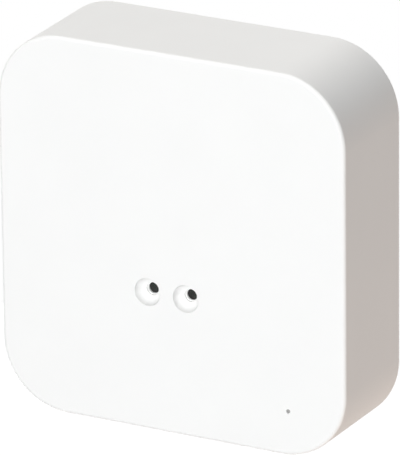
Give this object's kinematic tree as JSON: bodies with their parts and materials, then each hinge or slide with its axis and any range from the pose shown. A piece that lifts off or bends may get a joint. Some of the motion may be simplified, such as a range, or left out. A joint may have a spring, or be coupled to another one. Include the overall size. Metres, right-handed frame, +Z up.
{
  "type": "wireless glass break detector",
  "caption": "Rounded square wall detector with microphone ports and a status light in its face, slid onto a screwed wall bracket.",
  "frame": {"origin": "centre of the case on the wall plane, which is the rear face of the wall bracket", "axes": "+Y points into the wall, -Y is the way the face looks, +Z is up, +X is to the right when facing the detector"},
  "size_m": [0.08, 0.0255, 0.083],
  "materials": {
    "white_case": "satin",
    "white_chassis": "satin",
    "white_bracket": "satin",
    "board_green": "satin",
    "black_plastic": "matte",
    "gasket_rubber": "matte",
    "acoustic_mesh": "matte",
    "clear_plastic": "gloss",
    "lamp_resin": "gloss",
    "tinned_steel": "satin",
    "nickel_steel": "polished",
    "copper_wire": "satin",
    "capsule_metal": "satin",
    "cell_sleeve": "satin",
    "capacitor_can": "satin",
    "zinc_steel": "satin",
    "button_plastic": "satin"
  },
  "bodies": {
    "bracket": {"wall_bracket": "white_bracket"},
    "detector": {"front_housing": "white_case", "rear_chassis": "white_chassis", "main_board": "board_green", "microphone_left": "capsule_metal", "microphone_right": "capsule_metal", "gasket_left": "gasket_rubber", "gasket_right": "gasket_rubber", "mesh_left": "acoustic_mesh", "mesh_right": "acoustic_mesh", "status_lamp": "lamp_resin", "light_pipe": "clear_plastic", "radio_board": "board_green", "radio_shield": "tinned_steel", "aerial": "copper_wire", "processor": "black_plastic", "crystal": "tinned_steel", "reservoir_capacitor": "capacitor_can", "chip_parts": "black_plastic", "cell_left": "cell_sleeve", "cell_right": "cell_sleeve", "contact_bridge": "nickel_steel", "contact_negative": "nickel_steel", "contact_positive": "nickel_steel", "spring_negative": "nickel_steel", "spring_bridge": "nickel_steel", "tamper_spring": "nickel_steel", "tamper_switch": "black_plastic", "enrol_switch": "black_plastic", "case_screws": "zinc_steel", "board_screws": "zinc_steel"},
    "tamper_plunger": {"tamper_plunger": "button_plastic"},
    "tamper_stem": {"tamper_stem": "black_plastic"},
    "enrol_button": {"enrol_button": "button_plastic", "enrol_stem": "black_plastic"}
  },
  "joints": [
    {"name": "bracket_slide", "type": "slide", "parent": "bracket", "child": "detector", "axis": [0, 0, 1], "range_m": [0, 0.068]},
    {"name": "tamper_press", "type": "slide", "parent": "detector", "child": "tamper_plunger", "axis": [0, -1, 0], "range_m": [0, 0.0014], "stiffness_N_per_m": 300, "springref_m": -0.0015, "deforming": ["tamper_spring"]},
    {"name": "tamper_switch_press", "type": "slide", "parent": "detector", "child": "tamper_stem", "axis": [0, -1, 0], "range_m": [0, 0.00022]},
    {"name": "enrol_press", "type": "slide", "parent": "detector", "child": "enrol_button", "axis": [0, -1, 0], "range_m": [0, 0.0003], "stiffness_N_per_m": 2000, "springref_m": -0.0005}
  ],
  "couplings": [
    {"joint": "tamper_switch_press", "follows": "tamper_press", "ratio": 0.15}
  ]
}
